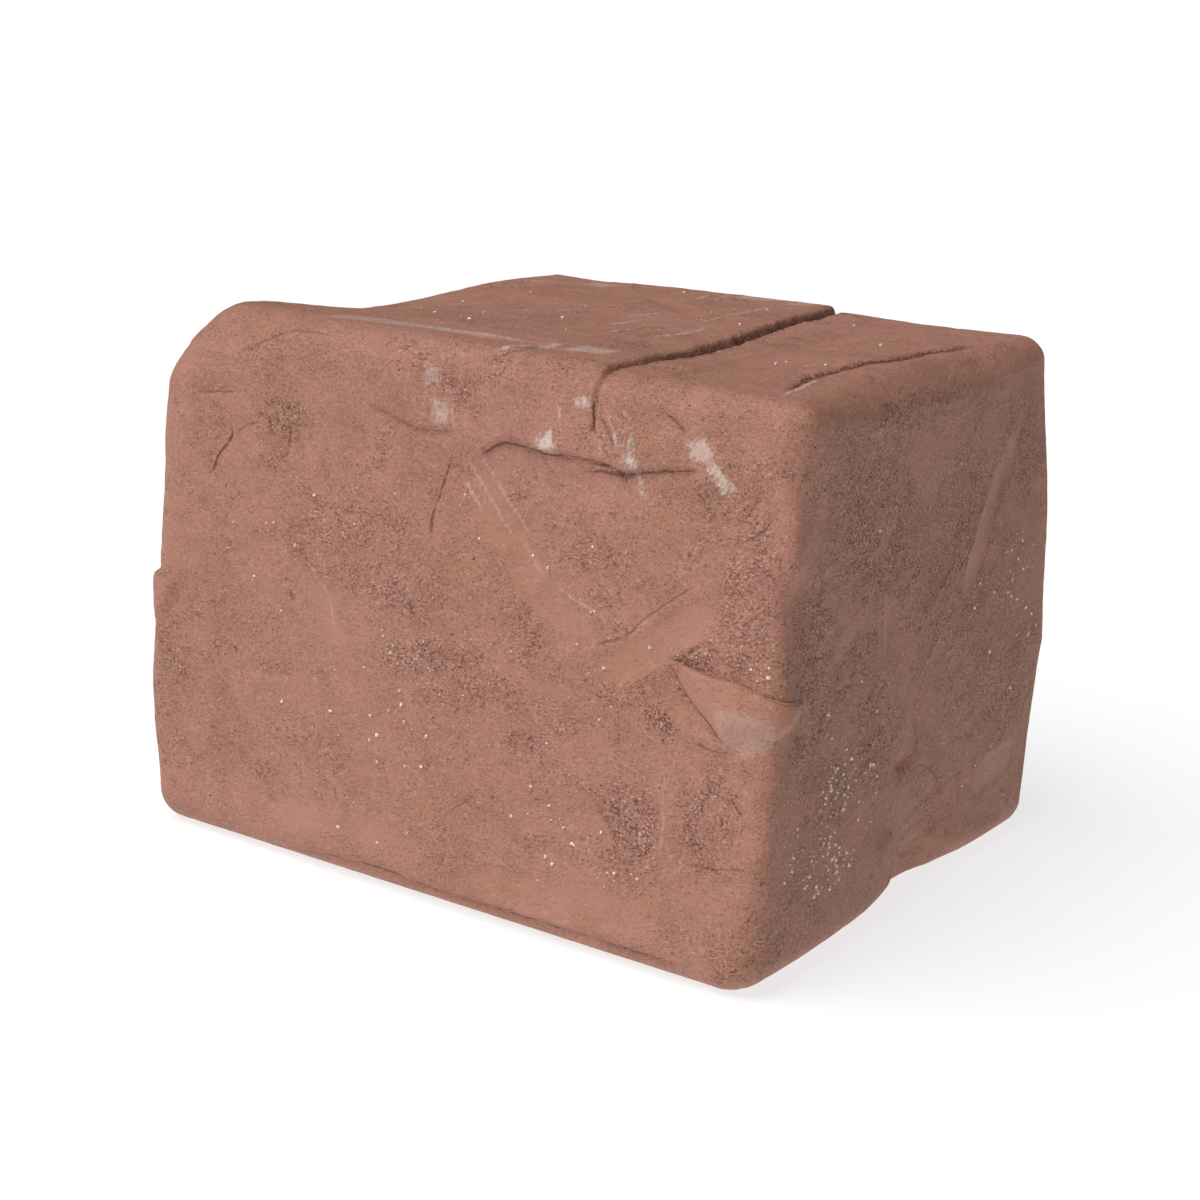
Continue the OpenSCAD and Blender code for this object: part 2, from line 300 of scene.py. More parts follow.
# Each mark lies on a face, with its places in millimetres across the face and up it.
# Laps are folds whose lip stands up on the left of the path.
laps = [
    dict(face="front", lip=1.3, cut=0.8, reach=5, path=[
        (6, 129), (14, 135), (20, 135.5), (28, 134.5), (36, 135.2), (44, 135.2), (52, 133.6), (58, 134)]),
    dict(face="front", lip=0.8, cut=0.7, reach=4, path=[
        (37, 131.5), (44, 132.5), (50, 132.8), (57, 134.5), (64, 136.2), (74, 138)]),
    dict(face="top", lip=-0.7, cut=0.7, reach=8, broad=2.2, path=[
        (95, 57), (92, 40), (90, 23), (87, -4), (85, -21), (83, -36), (83, -54), (85, -68), (88, -86)]),
    dict(face="front", lip=-0.6, cut=0.5, reach=4, path=[
        (45, 84), (47, 87), (56, 91), (62, 98), (70, 104), (78, 109)]),
    dict(face="front", lip=0.7, cut=0.8, reach=12, path=[
        (-56, 2), (-42, 5), (-20, 6.5), (32, 6.5), (70, 6.5), (94, 8.5)]),
    dict(face="front", lip=-0.5, cut=0.4, reach=4, path=[(80, 34), (90, 35), (101, 38)]),
    dict(face="top", lip=0.7, cut=0.35, reach=5, path=[
        (8, -99), (9, -93), (13, -88), (15, -84), (14, -73), (15, -66)]),
    dict(face="front", lip=0.5, cut=0.2, reach=6, path=[(-78, 145), (-58, 147), (-47, 150), (-37, 157)]),
    dict(face="front", lip=0.7, cut=0.4, reach=5, path=[
        (-72, 147), (-63, 154), (-56, 161), (-47, 161), (-38, 158)]),
    dict(face="front", lip=0.7, cut=0.4, reach=4, path=[(-30, 140), (-22, 138), (-12, 136), (2, 137)]),
    dict(face="front", lip=-1.9, cut=0.2, reach=24, path=[(-108, 74), (-102, 77), (-94, 78), (-88, 76)]),
    dict(face="right", lip=1.6, cut=0.8, reach=8, path=[(-7, 4), (-12, 14), (-14, 28)]),
    dict(face="right", lip=0.9, cut=0.5, reach=5, path=[(-4, 42), (8, 41), (22, 30), (28, 22)]),
    dict(face="front", lip=0.7, cut=0.5, reach=4, path=[(79, 68), (84, 67), (92, 67)]),
    dict(face="back", lip=1.0, cut=0.7, reach=6, path=[
        (-96, 118), (-60, 124), (-20, 121), (22, 127), (58, 124)]),
    dict(face="back", lip=0.7, cut=0.6, reach=8, path=[(20, 14), (48, 17), (80, 13), (98, 16)]),
    dict(face="left", lip=0.9, cut=0.6, reach=6, path=[(-80, 30), (-48, 36), (-20, 33), (8, 40)]),
    dict(face="left", lip=0.7, cut=0.5, reach=5, path=[(-30, 150), (-24, 128), (-28, 104), (-20, 92)]),
]
# Cracks and pressed lines.
cracks = [
    dict(face="front", depth=0.6, path=[(-84, 135), (-80, 134.5), (-75, 135), (-68, 135)]),
    dict(face="front", depth=1.0, path=[(-73, 128), (-72, 123), (-76, 117), (-77, 113), (-80, 109)]),
    dict(face="front", depth=0.5, path=[(-75, 121), (-67, 126), (-60, 130)]),
    dict(face="front", depth=0.6, path=[(-60, 132), (-59, 128), (-57, 124)]),
    dict(face="front", depth=0.7, path=[(-53, 131), (-52.5, 126), (-53, 118)]),
    dict(face="front", depth=0.5, path=[(-56, 133), (-51, 134), (-47, 138)]),
    dict(face="front", depth=0.5, path=[(-50, 128), (-49, 125), (-46.5, 119)]),
    dict(face="front", depth=0.5, path=[(-39, 121), (-39.5, 115)]),
    dict(face="front", depth=0.8, path=[
        (0, 133), (-1.5, 127), (-3.5, 120), (-5.5, 113), (-5.5, 107), (-4.5, 103)]),
    dict(face="front", depth=1.2, path=[(40, 152), (40.5, 147), (42, 141)]),
    dict(face="front", depth=0.5, path=[(42, 148), (47, 142), (49, 138)]),
    dict(face="front", depth=0.7, path=[(60, 151), (64, 149), (69, 145.5)]),
    dict(face="front", depth=0.6, path=[(96, 130), (92, 124), (86, 120)]),
    dict(face="front", depth=0.5, path=[(91, 136), (88.5, 129), (87, 124)]),
    dict(face="front", depth=0.55, path=[(47, 31.5), (50, 34.5)]),
    dict(face="front", depth=0.55, path=[(55, 26), (59, 28)]),
    dict(face="front", depth=0.8, path=[(17, 37), (19, 39)]),
    dict(face="front", depth=0.6, path=[(97, 41), (97, 49)]),
    dict(face="front", depth=0.7, path=[(92, 56), (95, 52.5), (98, 50.5)]),
    dict(face="front", depth=0.8, path=[(-51, 83), (-49.5, 79)]),
    dict(face="front", depth=0.8, path=[(-70, 62), (-68, 59)]),
    dict(face="front", depth=0.7, path=[(-35, 28), (-34, 22.5)]),
    dict(face="front", depth=0.6, path=[(-50, 32), (-45, 26)]),
    dict(face="front", depth=0.5, path=[(1, 26), (7, 32), (14, 38)]),
    dict(face="front", depth=0.25, path=[(73, 79), (76, 77.5), (80, 76)]),
    dict(face="front", depth=0.8, path=[(69, 88), (73, 84), (79, 78), (86, 72), (92, 67)]),
    dict(face="front", depth=0.45, path=[(95, 86), (101, 83.8), (107, 82.5), (113, 82)]),
    dict(face="top", depth=0.3, path=[(-21, -70), (2, -68), (22, -62)]),
    dict(face="right", depth=0.5, path=[(-2, 66), (-4, 58), (0, 52), (-1, 46)]),
    dict(face="right", depth=0.5, path=[(-24, 35), (-18, 34), (-11, 36)]),
    dict(face="right", depth=0.55, path=[(-65, 109), (-62, 106)]),
    dict(face="right", depth=0.55, path=[(-76, 106), (-73, 103)]),
    dict(face="right", depth=0.5, path=[(-24, 112), (-30, 102)]),
    dict(face="right", depth=0.5, path=[(10, 128), (2, 122), (-8, 112)]),
    dict(face="right", depth=0.5, path=[(-50, 90), (-57, 83), (-65, 78)]),
    dict(face="back", depth=0.9, path=[(-40, 90), (-36, 78), (-39, 66), (-34, 58)]),
    dict(face="back", depth=0.7, path=[(30, 60), (44, 66), (58, 64)]),
    dict(face="back", depth=0.6, path=[(-80, 60), (-72, 52), (-70, 40)]),
    dict(face="left", depth=0.9, path=[(30, 110), (36, 98), (34, 84)]),
    dict(face="left", depth=0.6, path=[(-60, 80), (-50, 74), (-44, 64)]),
]
# Raised lines where a fold of the bag was pinched, each with a painted highlight along it.
glints = [
    dict(face="front", width=0.6, path=[(31, 102), (43, 97), (53, 92)]),
    dict(face="front", width=0.5, path=[(20, 113), (25, 107), (32, 100)]),
    dict(face="front", width=0.8, path=[(29.5, 149), (32, 143)]),
    dict(face="front", width=0.9, path=[(45, 148), (48, 143), (49, 138)]),
    dict(face="front", width=0.8, path=[(49, 150), (52.5, 147)]),
    dict(face="front", width=1.0, path=[(53, 145), (52.5, 139)]),
    dict(face="front", width=0.5, path=[(-46, 95), (-38, 83), (-34, 71)]),
    dict(face="front", width=0.6, path=[(2, 132), (7, 125), (13, 118), (22, 108)]),
    dict(face="front", width=0.6, path=[(5, 135), (12, 126), (20, 118), (28, 108)]),
    dict(face="top", width=1.0, broad=2.6, path=[(90, -86), (87, -70), (86, -50)]),
    dict(face="top", width=0.9, broad=4.0, path=[(-40, -76), (-22, -73), (-6, -71), (12, -71)]),
    dict(face="top", width=1.0, broad=2.6, path=[(8, -93), (12, -84), (15, -72), (15, -63)]),
    dict(face="top", width=0.9, broad=2.4, path=[(0, -14), (2, -4), (4, 5)]),
    dict(face="top", width=0.9, broad=2.4, path=[(-4, 4), (-1, 14), (2, 24)]),
    dict(face="top", width=1.0, broad=2.4, path=[(9, -28), (10, -22), (11, -16)]),
    dict(face="top", width=0.9, broad=2.8, path=[(24, -31), (26, -15), (29, 4)]),
    dict(face="top", width=0.6, broad=1.8, path=[(22, -4), (23, 30), (22, 62)]),
    dict(face="top", width=0.7, broad=2.4, path=[(25, 24), (25, 46), (27, 66)]),
    dict(face="top", width=0.7, broad=2.2, path=[(-3, 58), (-4, 78)]),
    dict(face="top", width=0.7, broad=2.0, path=[(3, 65), (4, 84)]),
    dict(face="top", width=0.6, broad=2.0, path=[(-18, 35), (-18, 54)]),
    dict(face="top", width=0.6, broad=2.0, path=[(-26, 0), (-25, 16)]),
    dict(face="top", width=0.7, broad=2.6, path=[(-68, 83), (-48, 71)]),
    dict(face="top", width=0.6, broad=2.4, path=[(-88, 60), (-76, 66)]),
    dict(face="top", width=0.9, broad=2.2, path=[(74, -36), (77, -30)]),
    dict(face="top", width=0.4, broad=2.0, path=[(66, -20), (68, 16)]),
    dict(face="front", width=0.6, path=[(80, 134), (83, 135)]),
    dict(face="front", width=0.8, path=[(3, 124), (7, 119), (10, 115)]),
    dict(face="front", width=0.8, path=[(44, 142), (45.5, 136)]),
    dict(face="front", width=0.6, path=[(-4, 150), (-1, 142), (2, 133)]),
    dict(face="front", width=0.5, path=[(-64, 150), (-61, 142), (-58, 134)]),
    dict(face="front", width=0.5, path=[(72, 64), (72, 50), (73, 30)]),
    dict(face="right", width=0.5, path=[(20, 100), (2, 88), (-14, 72)]),
    dict(face="right", width=0.5, path=[(30, 92), (12, 80), (-6, 66)]),
    dict(face="back", width=0.5, path=[(-70, 100), (-30, 84), (4, 80)]),
    dict(face="left", width=0.5, path=[(0, 120), (14, 96), (18, 70)]),
]
# Smooth bands that the bag's folds pressed flat: width is half their width.
bands = [
    dict(face="front", width=4.5, sink=0.5, path=[(-50, 98), (-42, 84), (-31, 68), (-20, 50), (-13, 42)]),
    dict(face="front", width=6.0, sink=0.6, path=[
        (-1, 138), (8, 124), (18, 110), (30, 98), (44, 88), (54, 81)]),
    dict(face="front", width=5.5, sink=0.6, path=[(38, 76), (56, 84), (70, 95), (90, 108)]),
    dict(face="front", width=1.6, sink=0.3, path=[(73.5, 60), (73, 44), (74, 24)]),
    dict(face="front", width=2.0, sink=0.4, path=[(43, 52), (50, 42), (61, 28)]),
    dict(face="front", width=6.0, sink=0.3, path=[(-12, 9), (20, 12), (56, 15), (94, 20)]),
    dict(face="front", width=2.2, sink=-0.4, path=[(70, 86), (72.5, 77), (76, 72), (81, 69)]),
    dict(face="front", width=5.0, sink=0.3, path=[(-68, 14), (-30, 18), (0, 16)]),
    dict(face="right", width=2.4, sink=0.4, path=[(-31, 104), (-28, 90), (-28, 76)]),
    dict(face="right", width=4.5, sink=0.5, path=[(78, 140), (52, 122), (30, 96), (18, 74)]),
    dict(face="right", width=6.0, sink=0.4, path=[(82, 30), (60, 28), (38, 22)]),
    dict(face="top", width=5.0, sink=0.4, path=[(-60, -62), (-20, -64), (30, -66)]),
    dict(face="top", width=5.0, sink=0.4, path=[(-30, 60), (0, 40), (24, 10)]),
    dict(face="top", width=5.0, sink=0.3, path=[(58, -70), (60, -10), (64, 60)]),
    dict(face="back", width=6.0, sink=0.6, path=[(-86, 40), (-40, 60), (0, 88), (40, 130)]),
    dict(face="back", width=5.0, sink=0.5, path=[(60, 20), (70, 60), (66, 110)]),
    dict(face="left", width=6.0, sink=0.5, path=[(-70, 110), (-30, 80), (10, 64), (70, 50)]),
]
# Glossy wet smears, with their outlines and how strong each is. Their pale colour is a painted highlight;
# their low roughness is real gloss.
smearHighlights = [
    dict(face="front", amount=1.0, outline=[(25, 137), (29, 141), (31.5, 135.5), (27, 135.5)]),
    dict(face="front", amount=1.0, outline=[
        (50.5, 137.5), (52, 138), (53, 142), (54, 138), (56, 135), (52, 136)]),
    dict(face="front", amount=0.7, outline=[(54.5, 133), (56, 133), (58, 129)]),
    dict(face="front", amount=0.7, outline=[
        (68.5, 144), (73.5, 145.5), (76, 142.5), (75, 140), (69.5, 140.5)]),
    dict(face="front", amount=0.8, outline=[(74.5, 139.5), (77, 140), (83, 134.5), (80, 132.5)]),
    dict(face="front", amount=0.9, outline=[(36.5, 151), (39, 151), (39, 148.5), (36.5, 148.5)]),
    dict(face="front", amount=0.6, outline=[(34, 150), (35.5, 150), (35.5, 148.5)]),
    dict(face="front", amount=0.4, outline=[(-10, 153), (-6, 152), (-6, 148), (-10, 148)]),
    dict(face="front", amount=0.5, outline=[(-8, 144), (-3, 144), (-2, 139), (-6, 138)]),
    dict(face="front", amount=0.24, outline=[
        (86, 77), (92, 80), (102, 78), (104, 72), (96, 67), (88, 69)]),
    dict(face="top", amount=0.55, outline=[(20, -75), (30, -73), (31, -64), (20, -64)]),
    dict(face="top", amount=0.3, outline=[(-52, -80), (-20, -77), (0, -74), (-22, -69), (-50, -68)]),
    dict(face="top", amount=0.4, outline=[(6, 74), (22, 82), (24, 92), (8, 88)]),
    dict(face="top", amount=0.4, outline=[(26, 74), (34, 82), (38, 91), (30, 90)]),
    dict(face="top", amount=0.25, outline=[(-62, 70), (-50, 66), (-46, 76), (-60, 82)]),
]
# Dents, and bumps where the depth is negative: half sizes across and up, and a turn in degrees.
dents = [
    dict(face="right", at=(93, 112), size=(20, 36), depth=-1.7),
    dict(face="front", at=(-103, 126), size=(14, 16), depth=-1.4),
    dict(face="front", at=(-103, 40), size=(14, 28), depth=-1.2),
    dict(face="front", at=(108, 106), size=(9, 9), depth=2.2),
    dict(face="front", at=(104, 120), size=(9, 6), depth=-1.0),
    dict(face="front", at=(105, 136), size=(9, 10), depth=1.0),
    dict(face="front", at=(101, 80), size=(13, 9), depth=-1.7),
    dict(face="front", at=(-22, 128), size=(16, 10), turn=20, depth=1.0),
    dict(face="front", at=(34, 142), size=(12, 4), depth=-0.8),
    dict(face="front", at=(36, 129), size=(22, 5), depth=0.9),
    dict(face="front", at=(60, 142), size=(8, 4), depth=-0.7),
    dict(face="front", at=(-55, 128), size=(14, 8), depth=0.9),
    dict(face="front", at=(8, 118), size=(12, 14), turn=-30, depth=0.7),
    dict(face="front", at=(66, 122), size=(24, 12), depth=-0.8),
    dict(face="front", at=(-60, 50), size=(30, 18), depth=-0.7),
    dict(face="right", at=(-8, 45), size=(5, 3.5), depth=2.2),
    dict(face="right", at=(40, 120), size=(22, 14), depth=0.9),
    dict(face="right", at=(80, 66), size=(9, 7), depth=-0.9),
    dict(face="right", at=(-52, 84), size=(18, 9), turn=30, depth=0.8),
    dict(face="right", at=(-26, 22), size=(16, 10), depth=-1.0),
    dict(face="top", at=(8, -76), size=(12, 6), depth=0.9),
    dict(face="top", at=(-8, 20), size=(26, 40), depth=0.8),
    dict(face="top", at=(60, 0), size=(10, 50), depth=0.5),
    dict(face="back", at=(-10, 60), size=(30, 20), depth=1.2),
    dict(face="left", at=(10, 100), size=(26, 20), depth=1.2),
]
# Torn, pitted zones: half sizes, a turn in degrees and how strong.
torn = [
    dict(face="front", at=(-4, 73), size=(14, 5), turn=12, amount=1.0),
    dict(face="front", at=(-9, 87), size=(6, 4), amount=0.8),
    dict(face="front", at=(26, 86), size=(6, 9), amount=0.7),
    dict(face="front", at=(44, 110), size=(12, 6), turn=-15, amount=0.6),
    dict(face="front", at=(76, 91), size=(9, 7), turn=-20, amount=1.0),
    dict(face="front", at=(91, 106), size=(9, 20), amount=0.8),
    dict(face="front", at=(27, 55), size=(6, 4), amount=0.8),
    dict(face="front", at=(34, 65), size=(9, 5), amount=0.8),
    dict(face="front", at=(56, 78), size=(12, 6), amount=0.6),
    dict(face="front", at=(70, 71), size=(6, 5), amount=1.0),
    dict(face="front", at=(-47, 40), size=(12, 7), amount=0.5),
    dict(face="front", at=(62, 40), size=(10, 13), turn=10, amount=1.0),
    dict(face="front", at=(86, 47), size=(9, 14), amount=1.0),
    dict(face="front", at=(-30, 105), size=(22, 12), amount=0.6),
    dict(face="front", at=(-20, 92), size=(20, 8), amount=0.6),
    dict(face="front", at=(10, 66), size=(20, 6), turn=8, amount=0.6),
    dict(face="front", at=(-55, 131), size=(8, 6), amount=0.7),
    dict(face="front", at=(44, 142), size=(8, 5), amount=0.5),
    dict(face="right", at=(-46, 84), size=(22, 7), turn=28, amount=0.9),
    dict(face="right", at=(-70, 140), size=(18, 12), amount=0.7),
    dict(face="right", at=(-20, 148), size=(40, 7), amount=0.8),
    dict(face="right", at=(-62, 50), size=(20, 16), amount=0.7),
    dict(face="right", at=(-70, 22), size=(18, 12), amount=0.6),
    dict(face="right", at=(-10, 96), size=(24, 12), turn=-30, amount=0.8),
    dict(face="right", at=(-40, 120), size=(34, 22), turn=-20, amount=0.9),
    dict(face="right", at=(26, 96), size=(26, 40), turn=20, amount=0.8),
    dict(face="right", at=(-74, 84), size=(12, 30), amount=0.9),
    dict(face="right", at=(52, 56), size=(34, 22), amount=0.7),
    dict(face="right", at=(-30, 60), size=(18, 18), amount=0.9),
    dict(face="right", at=(66, 128), size=(20, 16), amount=0.7),
    dict(face="top", at=(42, 0), size=(3, 90), amount=0.9),
    dict(face="top", at=(-30, -40), size=(30, 16), amount=0.3),
    dict(face="back", at=(-50, 100), size=(30, 14), amount=0.8),
    dict(face="back", at=(40, 40), size=(26, 18), amount=0.8),
    dict(face="back", at=(0, 130), size=(40, 10), amount=0.5),
    dict(face="left", at=(-40, 60), size=(26, 16), amount=0.8),
    dict(face="left", at=(40, 120), size=(24, 16), amount=0.6),
]

surface = dict(
    waves=[(0.8, 52, 1), (0.22, 19, 4)],  # height, size and seed of the broad unevenness
    sway=0.7,  # how far marks stray from their paths
    swaySize=11,
    footFade=16,  # the surface evens out this far above the underside
    lineReach=2.6,  # how far from a line the surface still knows about it
    edgeReach=3.0,  # how far from the outline of a band or smear
    tornEdge=1.5,  # a torn zone ends at this many times its oval
    bandEnds=0.35,  # share of a band's length over which it fades
    bandRim=0.12,  # height of the rim along a band
    lipWall=1.4,  # run of a lap's wall, from its cut up to its lip
    cutWidth=1.8,
    seamShadeShift=0.25,  # the line of painted shade lies this far on the cut's side of the wall
    crackDepth=0.6,  # share of a crack's depth that is cut in the mesh
    glintRise=0.3,
    lineWidth=0.9,  # half width of cracks and light lines
    grain=0.1,  # height of the grain
    grainSize=3.2,
    scar=0.2,  # height of the lumps in torn zones
    scarSize=4.5,
    pitDepth=0.4,
)


def nearby(mark, sheets, reach):
    # the points within reach of a mark's line, their signed distance and share of its length
    at, valid = sheets[mark["face"]]
    line = curve(mark["path"])
    low, high = line.min(axis=0) - reach, line.max(axis=0) + reach
    found = np.flatnonzero(valid & (at > low).all(axis=1) & (at < high).all(axis=1))
    away, share = follow(line, at[found])
    close = np.abs(away) < reach
    return found[close], away[close], share[close]


def oval(mark, sheets):
    # distance of each point from a turned oval's middle, 1 on its outline
    at, valid = sheets[mark["face"]]
    turn = radians(mark.get("turn", 0))
    off = at - mark["at"]
    along = off[:, 0] * cos(turn) + off[:, 1] * sin(turn)
    aside = off[:, 1] * cos(turn) - off[:, 0] * sin(turn)
    return np.where(valid, np.hypot(along / mark["size"][0], aside / mark["size"][1]), unreached)


def insideOf(outline, at):
    # distance inside a closed outline, negative outside it
    outline = np.array(outline, float)
    closed = np.vstack([outline, outline[:1]])
    away, _ = follow(closed, at)
    start, run = closed[:-1], np.diff(closed, axis=0)
    above = (start[:, 1] > at[:, 1:]) != (start[:, 1] + run[:, 1] > at[:, 1:])
    slope = np.where(run[:, 1] == 0, 1, run[:, 1])
    crossing = start[:, 0] + run[:, 0] * (at[:, 1:] - start[:, 1]) / slope
    inside = (above & (at[:, :1] < crossing)).sum(axis=1) % 2 == 1
    return np.abs(away) * np.where(inside, 1, -1)


def relief(points, fine=True):
    # how far each point rises from the form, and what each mark leaves on it for the finish
    count = len(points)
    sheets = {face: unroll(points, face) for face in faces}
    sway = [roughness(points, surface["swaySize"], 70 + k, 3) for k in range(3)]
    sway = surface["sway"] * np.stack(sway, axis=1)
    warpedSheets = {}
    for face, (look, across, up) in faces.items():
        at, valid = sheets[face]
        warpedSheets[face] = (at + sway @ np.array([across, up], float).T, valid)
    aboveFoot = smooth(points[:, 2] / surface["footFade"])
    rise = sum(high * roughness(points, size, seed, 2) for high, size, seed in surface["waves"]) * aboveFoot
    marks = {name: np.zeros(count) for name in ("seamShade", "seamShadeSide", "glint", "glintSide", "torn", "pale")}
    edge = surface["edgeReach"]
    marks["band"] = np.full(count, -edge)
    marks["smearHighlight"] = np.full(count, -edge)

    for mark in dents:
        rise -= mark["depth"] * bell(oval(mark, sheets))
    for mark in torn:
        amount = mark["amount"] * smooth(surface["tornEdge"] - oval(mark, warpedSheets))
        marks["torn"] = np.maximum(marks["torn"], amount)
    for mark in bands:
        found, away, share = nearby(mark, warpedSheets, mark["width"] + edge)
        inside = mark["width"] * blend(0.6, 1, ends(share, 0.3)) - np.abs(away)
        whole = ends(share, surface["bandEnds"])
        rim = surface["bandRim"] * bell(inside / 1.2)
        rise[found] += (rim - mark["sink"] * smooth(inside / 4 + 0.3)) * whole
        inside = blend(-edge, np.clip(inside, -edge, edge), whole)
        marks["band"][found] = np.maximum(marks["band"][found], inside)

    def keepLine(found, away, amount, name):
        # keeps the strongest line's distance, as a pair that stays exact between points
        near = amount * (1 - (away / surface["lineReach"]) ** 2) ** 2
        stronger = near > marks[name][found]
        marks[name][found] = np.where(stronger, near, marks[name][found])
        marks[name + "Side"][found] = np.where(stronger, near * away, marks[name + "Side"][found])

    for mark in laps:
        broad = mark.get("broad", 1)
        found, away, share = nearby(mark, warpedSheets, 3 * mark["reach"])
        away = -away if mark["lip"] < 0 else away
        lip, cut = abs(mark["lip"]), mark["cut"]
        onLip = smooth(away / surface["lipWall"] + 0.5)
        profile = lip * onLip * np.exp(-np.maximum(away, 0) / mark["reach"])
        profile -= cut * (1 - onLip) * bell(np.minimum(away, 0) / surface["cutWidth"])
        rise[found] += profile * ends(share)
        # a line of painted shade along the fold's wall
        away = away / broad + surface["seamShadeShift"]
        close = np.abs(away) < surface["lineReach"]
        keepLine(found[close], away[close], min(1, cut + 0.1) * ends(share[close]), "seamShade")
    for mark in cracks:
        found, away, share = nearby(mark, warpedSheets, surface["lineReach"])
        # a crack cut into the mesh, with a line of painted shade along it
        rise[found] -= surface["crackDepth"] * mark["depth"] * bell(away / surface["lineWidth"]) * ends(share)
        keepLine(found, away, min(1, mark["depth"]) * ends(share, 0.25), "seamShade")
    for mark in glints:
        broad = mark.get("broad", 1)
        found, away, share = nearby(mark, warpedSheets, surface["lineReach"] * broad)
        rise[found] += surface["glintRise"] * bell(away / surface["lineWidth"]) * ends(share)
        keepLine(found, away / broad, mark["width"] * ends(share, 0.25), "glint")
    for mark in smearHighlights:
        at, valid = warpedSheets[mark["face"]]
        outline = np.array(mark["outline"], float)
        low, high = outline.min(axis=0) - edge - 1, outline.max(axis=0) + edge + 1
        found = np.flatnonzero(valid & (at > low).all(axis=1) & (at < high).all(axis=1))
        inside = np.clip(insideOf(outline, at[found]), -edge, edge)
        marks["smearHighlight"][found] = np.maximum(marks["smearHighlight"][found], inside)
        # how strong the painted highlight on the smear is
        marks["pale"][found] = np.maximum(marks["pale"][found], mark["amount"] * smooth(inside / 4 + 1))
    if fine:
        plain = smooth(0.5 - marks["band"]) * aboveFoot
        marks["torn"] *= plain
        grain = surface["grain"] * roughness(points, surface["grainSize"], 20, 2)
        lumps = surface["scar"] * roughness(points, surface["scarSize"], 26, 2)
        pits = smooth(2.2 * noise(points, 3.4, 23) - 0.4) + 0.6 * smooth(2.4 * noise(points, 2.1, 24) - 0.7)
        rise += grain * blend(0.35, 1, plain) + marks["torn"] * (lumps - surface["pitDepth"] * pits)
    return rise, marks


def skin(points, fine=True):
    # places on the finished surface, the ways it looks there, and the marks
    place, out = form(points)
    drop, cut = step(points, out)
    rise, marks = relief(points, fine)
    place += (rise + cut)[:, None] * out
    place[:, 2] += drop
    # how deep the groove is cut, which sets the painted shade in it
    marks["groove"] = np.clip(-cut / 2, 0, 1)
    return place, out, marks


# the lump

lump = dict(
    pitch=[1.4, 1.5, 1.4],  # spacing of the grid lines along each axis
    quickPitch=2.2,
    fineX=[(36, 46, 0.4), (20, 103, 0.8)],  # from, to, and share of the pitch: the groove, the right part
    fineY=[(-93, -84, 0.8)],  # the front edge
    fineZ=[(126, 156, 0.75)],  # the folds under the top edge
    underside=[10.0, 6.0, 2.5],  # insets of the rings on the underside
)


def ticks(low, high, pitch, fine=()):
    # lines from low to high whose spacing narrows to a share of the pitch in the fine stretches
    at = np.linspace(low, high, 4001)
    density = np.ones(len(at))
    for start, end, share in fine:
        inside = smooth((at - start) / 2) * smooth((end - at) / 2)
        density = np.maximum(density, blend(1, 1 / share, inside))
    passed = np.concatenate([[0], np.cumsum((density[1:] + density[:-1]) / 2)])
    count = int(round(passed[-1] * (at[1] - at[0]) / pitch))
    return np.interp(np.linspace(0, passed[-1], count + 1), passed, at)


def closedGrid(xs, ys, rings):
    # rings of points round the box, each with an inset and a height, and a grid over its top
    nx, ny = len(xs) - 1, len(ys) - 1
    i, j = np.arange(nx), np.arange(ny)
    outline = np.vstack([
        np.stack([xs[:-1], np.full(nx, ys[0])], 1), np.stack([np.full(ny, xs[-1]), ys[:-1]], 1),
        np.stack([xs[:0:-1], np.full(nx, ys[-1])], 1), np.stack([np.full(ny, xs[0]), ys[:0:-1]], 1)])
    around = len(outline)
    side = [np.column_stack([outline * (1 - inset / half[:2]), np.full(around, z)]) for inset, z in rings]
    innerX, innerY = np.meshgrid(xs[1:-1], ys[1:-1], indexing="ij")
    top = np.column_stack([innerX.ravel(), innerY.ravel(), np.full(innerX.size, rings[-1][1])])
    points = np.vstack(side + [top])
    ring = np.arange(len(rings) * around).reshape(len(rings), around)
    low, high = ring[:-1], ring[1:]
    walls = np.stack([low, nextAround(low), nextAround(high), high], 2).reshape(-1, 4)
    cap = np.empty((nx + 1, ny + 1), int)
    last = ring[-1]
    cap[:-1, 0] = last[i]
    cap[-1, :-1] = last[nx + j]
    cap[:0:-1, -1] = last[nx + ny + i]
    cap[0, :0:-1] = last[2 * nx + ny + j]
    cap[1:-1, 1:-1] = len(rings) * around + np.arange(top.shape[0]).reshape(nx - 1, ny - 1)
    lid = np.stack([cap[:-1, :-1], cap[1:, :-1], cap[1:, 1:], cap[:-1, 1:]], 2).reshape(-1, 4)
    return points, np.vstack([walls, lid]).tolist() + [ring[0, ::-1].tolist()]


def newPiece(name, places, polygons, marks=None):
    # a mesh object at the origin, in metres, with its marks as attributes
    mesh = bpy.data.meshes.new(name)
    mesh.from_pydata((places * mm).tolist(), [], polygons)
    mesh.polygons.foreach_set("use_smooth", np.ones(len(polygons), bool))
    for label, values in (marks or {}).items():
        attribute = mesh.attributes.new(label, "FLOAT", "POINT")
        attribute.data.foreach_set("value", values.astype(np.float32))
    mesh.update()
    piece = bpy.data.objects.new(name, mesh)
    bpy.context.scene.collection.objects.link(piece)
    return piece


